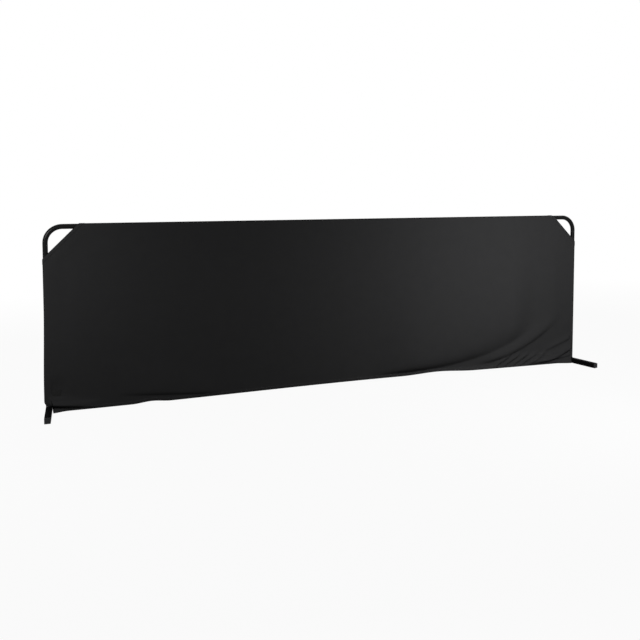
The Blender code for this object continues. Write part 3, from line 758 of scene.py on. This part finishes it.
# parallel small folds between the draw and the right foot
comb = {"count": 5, "firstX": 0.716, "step": 0.047, "z": 0.001, "run": 0.115, "rise": 0.06,
        "shape": {"drop": 0.0125, "reach": 0.006, "fall": 0.012, "edge": 0.0012}}
for index in range(comb["count"]):
    x = comb["firstX"] + comb["step"] * index
    end = (x + comb["run"], comb["z"] + comb["rise"])
    frontFolds["comb%d" % index] = fold((x, comb["z"]), end, **comb["shape"])
flaps = {  # the front's lower corners stand out and hang lower beside the feet
    "left": {"depth": 0.0155, "run": 0.055, "height": 0.014, "drop": 0.0046},
    "right": {"depth": 0.012, "run": 0.09, "height": 0.05, "drop": 0.0048},
}
hemKick = {"depth": 0.0065, "height": 0.032, "x": 0.62, "reach": 0.6}
leftGroove = {"depth": 0.005, "start": 0.007, "steep": 0.013, "end": 0.08, "gentle": 0.055,
              "z": 0.092, "rise": 0.06}
leftBelly = {"depth": 0.0055, "topZ": 0.4, "run": 0.33, "ankleZ": 0.04, "ankleRun": 0.015, "inboard": 0.03}
centreCrease = {"depth": 0.0007, "width": 0.003}
ripple = {"depth": 0.0007, "size": 0.075, "seeds": {True: 0.0, False: 5.0},
          "broadDepth": 0.0021, "broadSize": 0.3, "broadStretch": (1.3, 0.6), "broadSeed": 9.0}
straightFrom = 30  # this many edges above its line a fold's soft foot has become straight


def foldDepth(x, z, line):
    # nothing below the line, steepest just above it, then gentler and slowly back
    startX, startZ = line["start"]
    endX, endZ = line["end"]
    along = (x - startX) / (endX - startX)
    if along <= 0 or along >= 1:
        return 0
    rise, power = endZ - startZ, line["power"]
    slope = rise / (endX - startX) * power * along ** (power - 1)
    run = (z - startZ - rise * along ** power) / sqrt(1 + slope * slope)
    if run < line["edge"] * straightFrom:
        run = line["edge"] * log1p(exp(run / line["edge"]))
    reach = line["reaches"][0] * (1 - along) + line["reaches"][1] * along
    depth = line["drop"] * (1 - exp(-run / reach)) * bell(run / line["fall"])
    for share, taper in zip((along, 1 - along), line["ends"]):
        depth *= smooth(share / taper) if taper else 1
    return depth


def flapShare(x):
    side = "left" if x < 0 else "right"
    inner = halfSpan - notch["front"][side] - abs(x)
    return flaps[side], smooth(1 - inner / flaps[side]["run"])


def frontDrape(x, z):
    # the kicked hem, the flaps beside the feet and the hollow beside the left upright
    kick = smooth(1 - z / hemKick["height"])
    out = hemKick["depth"] * kick * bump((x - hemKick["x"]) / hemKick["reach"])
    flap, share = flapShare(x)
    out += flap["depth"] * share * smooth(1 - z / flap["height"])
    groove = smooth((halfSpan + x - leftGroove["start"]) / leftGroove["steep"])
    groove *= smooth((leftGroove["end"] - halfSpan - x) / leftGroove["gentle"])
    return out - leftGroove["depth"] * groove * bump((z - leftGroove["z"]) / leftGroove["rise"])


def rippled(x, z, front):
    # faint unevenness, fine and broad
    fine = noise.noise(Vector((x, z, ripple["seeds"][front])) / ripple["size"])
    stretchX, stretchZ = ripple["broadStretch"]
    broad = noise.noise(Vector((x * stretchX, z * stretchZ, ripple["broadSeed"])) / ripple["broadSize"])
    return fine * ripple["depth"] + broad * ripple["broadDepth"]


def outward(x, z, front):
    # how far the cloth stands out from the plane that touches the tubes
    inboard, below = halfSpan - abs(x), railZ - z
    free = smooth((inboard - cover["flatZone"]) / cover["freeRun"])
    folds = (frontFolds if front else backFolds).values()
    out = cover["billow"] * sin(pi * smooth(below / railZ)) * free
    out += smooth(inboard / cover["foldRun"]) * sum(foldDepth(x, z, line) for line in folds)
    out += rippled(x, z, front) * free + centreCrease["depth"] * bell(x / centreCrease["width"])
    if front:
        out += frontDrape(x, z)
    nearFoot = smooth((footRoom["inboard"] - inboard) / footRoom["run"])
    nearFoot *= smooth((footRoom["height"] - z) / footRoom["fade"])
    clearance = (footRoom["depth"] - wrapRadius) * nearFoot
    room = cover["inwardRoom"] * smooth((inboard - tubeRadius) / cover["inwardRun"])
    room *= smooth(below / cover["inwardDrop"] - 1) * (1 - nearFoot)
    return max(out + clearance, clearance - room)


def hemHeight(x, front):
    # the lower edge over the floor, worked back from where the front view shows it
    seen = hem["floor"]
    for height, place, reach in hem["rises"]:
        seen += height * bump((x - place) / reach)
    if not front:
        return seen
    flap, share = flapShare(x)
    seen -= flap["drop"] * share
    stand = 0.0
    for _ in range(hem["viewRounds"]):
        stand = outward(x, seen + hem["viewSlope"] * stand, front)
    return max(seen + hem["viewSlope"] * stand, hem["floor"])


def coverPoint(u, v, front, lift=0.0):
    # from the flat pattern to the dressed frame: u runs along the barrier, v down from the rail's top
    overSide = abs(u) - halfSpan
    overTop = wrapArc - v
    radius = wrapRadius + lift
    sign = -1 if front else 1
    z = railZ + min(overTop, 0)
    belly = 0.0
    if u < 0:
        belly = leftBelly["depth"] * smooth((leftBelly["topZ"] - z) / leftBelly["run"])
        belly *= smooth(1 + (z - leftBelly["ankleZ"]) / leftBelly["ankleRun"])
    if overSide <= 0 and overTop <= 0:
        x = u + copysign(belly * smooth(1 + overSide / leftBelly["inboard"]), u)
        return Vector((centreX + x, sign * (radius + outward(u, z, front)), z))
    x, y = u, radius
    if overSide > 0:
        angle = overSide / wrapRadius
        x = copysign(halfSpan + radius * sin(angle) + belly, u)
        y = radius * cos(angle)
    if overTop > 0:
        angle = overTop / wrapRadius
        z = railZ + radius * sin(angle)
        y = min(y, radius * cos(angle))
    return Vector((centreX + x, sign * y, z))


def flatGrid(columns, rows):
    # create_grid's cells moved to the flat pattern
    across, down = len(columns) - 1, len(rows[0]) - 1
    bm = bmesh.new()
    bmesh.ops.create_grid(bm, x_segments=across, y_segments=down, size=1)
    for vert in bm.verts:
        column, row = round((vert.co.x + 1) / 2 * across), round((vert.co.y + 1) / 2 * down)
        vert.co = (columns[column], rows[column][row], 0)
    return bm


def cutCorner(bm, sign, inset, keepInner):
    # drops the cloth past the diagonal cut, or all but a band inside it
    place = (sign * (cutX - inset), 0, 0)
    normal = Vector((sign, -1, 0)) * (1 if keepInner else -1)
    bmesh.ops.bisect_plane(bm, geom=bm.verts[:] + bm.edges[:] + bm.faces[:], dist=weld, plane_co=place,
                           plane_no=normal, clear_outer=True)


def keepFlatMap(bm):
    # the flat pattern in metres becomes the UV map
    layer = bm.loops.layers.uv.new("flat")
    for face in bm.faces:
        for loop in face.loops:
            loop[layer].uv = loop.vert.co.xy


def addCloth(name, bm, finish, nodes, way, thickness, even):
    # a sheet whose outermost face looks along y the given way, thickened outwards
    bmesh.ops.recalc_face_normals(bm, faces=bm.faces)
    outermost = max(bm.faces, key=lambda face: way * face.calc_center_median().y)
    if outermost.normal.y * way < 0:
        bmesh.ops.reverse_faces(bm, faces=bm.faces)
    sheet = addPiece(name, bm, finish, nodes, outward=False)
    wall = sheet.modifiers.new("thickness", "SOLIDIFY")
    wall.thickness = thickness
    wall.offset = 1
    wall.use_even_offset = even
    return sheet


# how finely the sheets are divided: most at the notches and in the folds at the lower right
cells = {"wrap": 6, "notch": 6, "beside": 14, "edgeStep": 0.003, "left": 64, "leftTo": -0.45,
         "middle": 50, "middleTo": 0.3, "right": 190, "upper": 26, "upperTo": 0.215, "lower": 70,
         "crowding": 1.3}
placeDigits = 5  # columns are told apart to this many decimals
besideFrom = halfSpan - cover["flatZone"] * 2  # where the columns close to an upright start


def endColumns(gap):
    # from the flat zone over the notch and round the upright
    wrap = spread(halfSpan, halfSpan + wrapArc, cells["wrap"])[1:]
    wrap[-1] -= solidGap / 2
    edge = halfSpan - gap
    beside = spread(besideFrom, edge - cells["edgeStep"], cells["beside"])
    return beside + spread(edge, halfSpan, cells["notch"]) + wrap


def coverColumns(gaps):
    middle = spread(-besideFrom, cells["leftTo"], cells["left"])[1:]
    middle += spread(cells["leftTo"], cells["middleTo"], cells["middle"])[1:]
    middle += spread(cells["middleTo"], besideFrom, cells["right"])[1:-1]
    return [-place for place in reversed(endColumns(gaps["left"]))] + middle + endColumns(gaps["right"])


def overFoot(u, gaps):
    return abs(u) > halfSpan - gaps["left" if u < 0 else "right"] - cells["edgeStep"] / 2


def coverRows(u, front, gaps):
    # down one column: over the rail, widely spaced, then closer and closer to the lower edge
    wrap = spread(0, wrapArc, cells["wrap"])
    wrap[0] += solidGap / 2
    fineZ = cells["upperTo"]
    upper = [wrapArc + railZ - z for z in spread(railZ, fineZ, cells["upper"])[1:]]
    low = cover["notchHeight"] if overFoot(u, gaps) else hemHeight(u, front)
    shares = [1 - (1 - share) ** cells["crowding"] for share in spread(0, 1, cells["lower"])[1:]]
    return wrap + upper + [wrapArc + railZ - fineZ + (fineZ - low) * share for share in shares]


def coverSheet(front):
    face = "front" if front else "back"
    name, gaps = "cover_" + face, notch[face]
    columns = coverColumns(gaps)
    rows = [coverRows(column, front, gaps) for column in columns]
    bm = flatGrid(columns, rows)
    edges = {round(column, placeDigits): row[-1] for column, row in zip(columns, rows)}
    for sign in sides.values():
        cutCorner(bm, sign, 0, True)
    keepFlatMap(bm)
    for vert in bm.verts:
        u, v = vert.co.xy
        above = edges.get(round(u, placeDigits), inf) - v
        band = 0 if overFoot(u, gaps) else smooth((cover["hemWidth"] - above) / cover["hemFade"])
        vert.co = coverPoint(u, v, front, band * cover["hemStep"])
    return addCloth(name, bm, "cloth", [name + "_panel", name + "_hem"], -1 if front else 1,
                    cover["thickness"], False)


sheets = {front: coverSheet(front) for front in (True, False)}
print("cover done")


# Binding tape round the two mouths where the bends leave the cover
binding = {"width": 0.012, "thickness": 0.0005, "cells": 36, "wrapCells": 8, "spareTimes": 1.5}


def cornerBinding(side):
    sign = sides[side]
    inset = binding["width"] * sqrt(2)
    spare = inset * binding["spareTimes"]
    columns = spread(cutX - spare, halfSpan, binding["cells"])[:-1]
    columns += spread(halfSpan, halfSpan + wrapArc, binding["wrapCells"])
    rows = spread(0, wrapArc, binding["wrapCells"])
    rows += spread(wrapArc, wrapArc + halfSpan - cutX + spare, binding["cells"])[1:]
    band = bmesh.new()
    for front in (True, False):
        bm = flatGrid([sign * place for place in columns], [rows] * len(columns))
        cutCorner(bm, sign, 0, True)
        cutCorner(bm, sign, inset, False)
        keepFlatMap(bm)
        for vert in bm.verts:
            vert.co = coverPoint(*vert.co.xy, front, cover["thickness"] + solidGap)
        addShape(band, bm)
    bmesh.ops.remove_doubles(band, verts=band.verts, dist=weld)
    return addCloth(side + "_binding", band, "tape", [side + "_corner_binding"], -1,
                    binding["thickness"], True)


bindings = [cornerBinding(side) for side in sides]
print("bindings done")


# Stitching
stitch = {"length": 0.003, "pitch": 0.0042, "radius": 0.00028, "sides": 6, "rings": 4,
          "hemInset": 0.0115, "hemEnd": 0.006, "bindingInset": 0.0022}
halfStitch = stitch["length"] / 2


def oneStitch():
    bm = bmesh.new()
    bmesh.ops.create_uvsphere(bm, u_segments=stitch["sides"], v_segments=stitch["rings"], radius=1)
    moveBy(bm, Matrix.Diagonal((stitch["radius"], stitch["radius"], halfStitch, 1)))
    return meshFrom(bm, "stitch")


def stitchRow(bm, points, front):
    # stitches at an even pitch along points of the flat pattern
    pattern = oneStitch()
    for u, v, stepU, stepV, extra in points:
        lift = cover["thickness"] + extra
        place = coverPoint(u, v, front, lift)
        along = (coverPoint(u + stepU, v + stepV, front, lift) - place).normalized()
        beside = coverPoint(u - stepV, v + stepU, front, lift) - place
        out = along.cross(beside).normalized()
        turn = Matrix((along.cross(out).normalized(), out, along)).transposed().to_4x4()
        copy = pattern.copy()
        copy.transform(shift(place) @ turn)
        bm.from_mesh(copy)
        bpy.data.meshes.remove(copy)
    bpy.data.meshes.remove(pattern)


def hemStitching(front):
    bm = bmesh.new()
    face = "front" if front else "back"
    start = notch[face]["left"] + stitch["hemEnd"] - halfSpan
    end = halfSpan - notch[face]["right"] - stitch["hemEnd"]
    points = []
    for u in spread(start, end, int((end - start) / stitch["pitch"])):
        v, ahead = (wrapArc + railZ - hemHeight(place, front) - stitch["hemInset"]
                    for place in (u, u + halfStitch))
        points.append((u, v, halfStitch, ahead - v, cover["hemStep"]))
    stitchRow(bm, points, front)
    return addPiece(face + "_hem_stitching", bm, "thread")


def bindingStitching(side):
    bm = bmesh.new()
    sign = sides[side]
    inset = (binding["width"] - stitch["bindingInset"]) * sqrt(2)
    start = cutX - inset
    run = halfSpan - start
    step = halfStitch / sqrt(2)
    lift = solidGap + binding["thickness"]
    for front in (True, False):
        points = [(sign * (start + share), wrapArc + share, sign * step, step, lift)
                  for share in spread(0, run, int(run * sqrt(2) / stitch["pitch"]))]
        stitchRow(bm, points, front)
    return addPiece(side + "_binding_stitching", bm, "thread")


hemThreads = {front: hemStitching(front) for front in (True, False)}
cornerThreads = [bindingStitching(side) for side in sides]
print("stitching done")


# Hook and loop closure behind each upright
closure = {"width": 0.03, "gap": 0.003, "web": 0.001}


def closureStrip(name, node, outline, side):
    low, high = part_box(node)
    bm = bmesh.new()
    face = bm.faces.new([bm.verts.new((uprightX[side] + sides[side] * x, y, low.z)) for x, y in outline])
    extrudeBy(bm, [face], (0, 0, high.z - low.z))
    soften(bm)
    return addPiece(name, bm, "hook", [node])


def closureAt(side):
    # the hook tape goes round the upright in a U, the loop tape lies flat behind it
    tab, patch = side + "_hook_tab", side + "_loop_patch"
    outer = -(tubeRadius + closure["gap"])
    inner, web = outer - closure["width"], closure["web"]
    frontY, backY = (corner.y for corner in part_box(tab))
    outline = [(inner, frontY), (outer, frontY), (outer, backY), (inner, backY), (inner, backY - web),
               (outer - web, backY - web), (outer - web, frontY + web), (inner, frontY + web)]
    hook = closureStrip(side + "_hook_strip", tab, outline, side)
    low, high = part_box(patch)
    outline = [(inner, low.y), (outer, low.y), (outer, high.y), (inner, high.y)]
    return [hook, closureStrip(side + "_loop_strip", patch, outline, side)]


strips = [piece for side in sides for piece in closureAt(side)]
print("closures done")

flatWidth = 2 * (halfSpan + wrapArc)
flatLength = wrapArc + railZ - hem["floor"]
cornerLeg = flatWidth / 2 - cutX


def flatArea(gaps):
    # a rectangle less the two cut corners and the strips that are missing over the feet
    overFeet = (sum(gaps.values()) + 2 * wrapArc) * (cover["notchHeight"] - hem["floor"])
    return flatWidth * flatLength - cornerLeg ** 2 - overFeet


flatArea(notch["front"])
bindings + cornerThreads + [hemThreads[True]]
flatArea(notch["back"])
[hemThreads[False]] + strips


# Stage: pale floor, soft light and the camera
stage = {"floorColour": (0.24, 0.24, 0.24), "floorSize": 40.0, "floorGap": 0.0004, "whiteShare": 0.95,
         "whiteBand": (1.6, 3.2), "whiteStretch": (0.6, 1.0, 0.0), "skyStrength": 0.08}
white = (1, 1, 1, 1)


def whiteRays(wire):
    # one for rays that should see the plain white background
    seen = [wire.node("LightPath", output=ray)
            for ray in ("Is Camera Ray", "Is Glossy Ray", "Is Transmission Ray")]
    return wire.maths("MINIMUM", seen[0] + seen[1] + seen[2], 1.0)


def paleFloor():
    # a pale matt floor that most rays see as white, wholly so further out
    bm = bmesh.new()
    bmesh.ops.create_grid(bm, x_segments=1, y_segments=1, size=stage["floorSize"] / 2)
    moveBy(bm, shift((0, 0, -stage["floorGap"])))
    floor = linked("floor", meshFrom(bm, "floor"))
    material = bpy.data.materials.new("pale_floor")
    floor.data.materials.append(material)
    wire = emptyNodes(material)
    flat = wire.node("VectorMath", {0: objectPlace(wire), 1: stage["whiteStretch"]}, operation="MULTIPLY")
    far = wire.node("VectorMath", {0: flat}, output=1, operation="LENGTH")
    outer = ramped(wire, far, stage["whiteBand"])
    share = outer * (1 - stage["whiteShare"]) + stage["whiteShare"]
    paint = wire.node("BsdfDiffuse", {"Color": (*stage["floorColour"], 1)})
    plain = wire.node("Emission")
    mix = wire.node("MixShader", {0: share * whiteRays(wire), 1: paint, 2: plain})
    wire.node("OutputMaterial", {"Surface": mix})


def whiteSky():
    world = bpy.data.worlds.new("studio")
    wire = emptyNodes(world)
    light = wire.node("Background", {"Color": white, "Strength": stage["skyStrength"]})
    plain = wire.node("Background", {"Color": white})
    mix = wire.node("MixShader", {0: whiteRays(wire), 1: light, 2: plain})
    wire.node("OutputWorld", {"Surface": mix})
    bpy.context.scene.world = world


softboxes = {
    "rightBox": {"place": (0.8, -1.0, 0.82), "aim": (0.7, 0, 0.0), "size": (0.45, 0.35), "power": 19.0},
    "leftBox": {"place": (-1.6, -0.75, 0.88), "aim": (-1.12, 0, 0.2), "size": (0.35, 0.3), "power": 9.0},
    "backBox": {"place": (0.5, 2.6, 2.2), "aim": (0, 0, 0.3), "size": (2.0, 1.2), "power": 60.0},
}


def fromCentre(place):
    return Vector(place) + Vector((centreX, 0, 0))


def addSoftbox(name, box):
    light = bpy.data.lights.new(name, "AREA")
    light.shape = "RECTANGLE"
    light.size, light.size_y = box["size"]
    light.energy = box["power"]
    lamp = linked(name, light)
    lamp.visible_camera = False
    lamp.location = fromCentre(box["place"])
    lamp.rotation_euler = (fromCentre(box["aim"]) - lamp.location).to_track_quat("-Z", "Y").to_euler()


view = {"place": (-1.02252, -2.87051, 0.8449), "pitchDegrees": 3.491, "yawDegrees": 19.488,
        "focalPixels": 728.38, "centrePixels": (340.5, 228.95), "imagePixels": 640}


def addCamera():
    camera = bpy.data.cameras.new("camera")
    pixels = view["imagePixels"]
    camera.lens = view["focalPixels"] / pixels * camera.sensor_width
    camera.shift_x = (pixels / 2 - view["centrePixels"][0]) / pixels
    camera.shift_y = (view["centrePixels"][1] - pixels / 2) / pixels
    rig = linked("camera", camera)
    rig.location = fromCentre(view["place"])
    rig.rotation_euler = (radians(90 - view["pitchDegrees"]), 0, -radians(view["yawDegrees"]))
    bpy.context.scene.camera = rig


paleFloor()
whiteSky()
for name, box in softboxes.items():
    addSoftbox(name, box)
addCamera()
bpy.context.scene.view_settings.view_transform = "Standard"
print("stage done")
